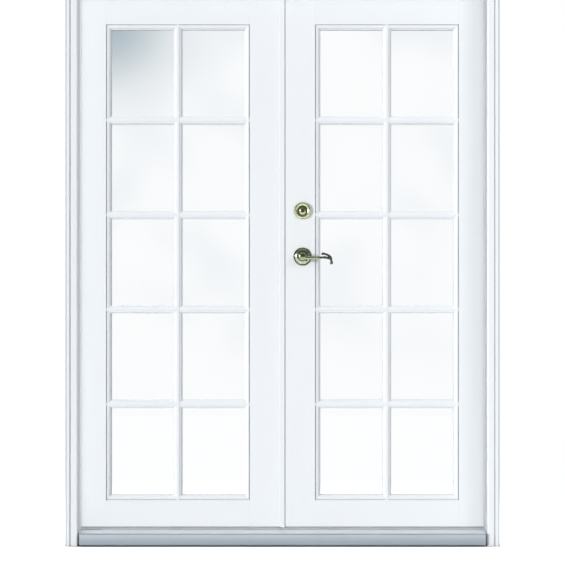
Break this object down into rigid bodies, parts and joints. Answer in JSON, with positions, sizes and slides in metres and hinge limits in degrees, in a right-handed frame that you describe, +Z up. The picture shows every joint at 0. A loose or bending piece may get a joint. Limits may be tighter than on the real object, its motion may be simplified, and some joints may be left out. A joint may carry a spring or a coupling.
{
  "type": "french doors",
  "caption": "Pair of glazed inswing doors in a timber frame with outside moulding, metal sill, covering strip with flush bolts, lever latch and key lock.",
  "frame": {"origin": "underside of the sill, at mid width, in the plane of the jambs' outside edge", "axes": "+X to the right seen from outside, +Y into the house, +Z up"},
  "size_m": [1.606, 0.221, 2.112],
  "materials": {
    "paint": "white paint, satin",
    "sill_metal": "mill, brushed along its length",
    "brass": "aged, darker in the hollows",
    "steel": "satin",
    "seal": "matte",
    "glass": "clear",
    "spacer_metal": "mill"
  },
  "bodies": {
    "frame": {"left_jamb": "paint", "right_jamb": "paint", "head_jamb": "paint", "left_brickmould": "paint", "right_brickmould": "paint", "head_brickmould": "paint", "sill_base": "paint", "sill_deck": "sill_metal", "threshold_cap": "sill_metal", "left_weatherstrip": "seal", "right_weatherstrip": "seal", "head_weatherstrip": "seal", "passive_jamb_hinge_leaves": "steel", "active_jamb_hinge_leaves": "steel", "bolt_strikes": "steel"},
    "passive_leaf": {"passive_hinge_stile": "paint", "passive_meeting_stile": "paint", "passive_top_rail": "paint", "passive_bottom_rail": "paint", "passive_glazing_bars": "paint", "passive_glass_panes": "glass", "passive_glass_spacers": "spacer_metal", "passive_glazing_beads": "paint", "passive_sweep": "seal", "passive_leaf_hinge_leaves": "steel", "passive_hinge_pins": "steel", "astragal": "paint", "latch_strike": "brass", "deadbolt_strike": "brass"},
    "top_bolt": {"top_flush_bolt": "steel"},
    "bottom_bolt": {"bottom_flush_bolt": "steel"},
    "active_leaf": {"active_hinge_stile": "paint", "active_lock_stile": "paint", "active_top_rail": "paint", "active_bottom_rail": "paint", "active_glazing_bars": "paint", "active_glass_panes": "glass", "active_glass_spacers": "spacer_metal", "active_glazing_beads": "paint", "active_sweep": "seal", "active_leaf_hinge_leaves": "steel", "active_hinge_pins": "steel", "outside_rose": "brass", "inside_rose": "brass", "rose_screws": "brass", "latch_case": "brass", "deadbolt_collar": "brass", "deadbolt_inside_plate": "brass", "deadbolt_case": "brass"},
    "lever": {"outside_lever": "brass", "inside_lever": "brass", "lever_spindle": "steel"},
    "latch": {"latch_bolt": "brass"},
    "key_turn": {"key_plug": "brass", "deadbolt_tailpiece": "steel", "thumbturn": "brass"},
    "deadbolt": {"deadbolt_bolt": "brass"}
  },
  "joints": [
    {"name": "passive_swing", "type": "hinge", "parent": "frame", "child": "passive_leaf", "pos_m": [-0.7625, 0.1223, 1.0665], "axis": [0, 0, 1], "range_deg": [0, 165]},
    {"name": "active_swing", "type": "hinge", "parent": "frame", "child": "active_leaf", "pos_m": [0.7625, 0.1223, 1.0665], "axis": [0, 0, -1], "range_deg": [0, 165]},
    {"name": "top_bolt_slide", "type": "slide", "parent": "passive_leaf", "child": "top_bolt", "axis": [0, 0, 1], "range_m": [0, 0.015]},
    {"name": "bottom_bolt_slide", "type": "slide", "parent": "passive_leaf", "child": "bottom_bolt", "axis": [0, 0, -1], "range_m": [0, 0.015]},
    {"name": "lever_turn", "type": "hinge", "parent": "active_leaf", "child": "lever", "pos_m": [0.07485, 0.09375, 1.073], "axis": [0, 1, 0], "range_deg": [0, 45], "stiffness_Nm_per_rad": 1, "springref_deg": -34.38},
    {"name": "latch_slide", "type": "slide", "parent": "active_leaf", "child": "latch", "axis": [1, 0, 0], "range_m": [0, 0.0127]},
    {"name": "key_turn", "type": "hinge", "parent": "active_leaf", "child": "key_turn", "pos_m": [0.07485, 0.09375, 1.245], "axis": [0, 1, 0], "range_deg": [0, 90]},
    {"name": "deadbolt_slide", "type": "slide", "parent": "active_leaf", "child": "deadbolt", "axis": [-1, 0, 0], "range_m": [0, 0.0254]}
  ],
  "couplings": [
    {"joint": "latch_slide", "follows": "lever_turn", "m_per_rad": 0.01617},
    {"joint": "key_turn", "follows": "deadbolt_slide", "rad_per_m": 61.83}
  ]
}
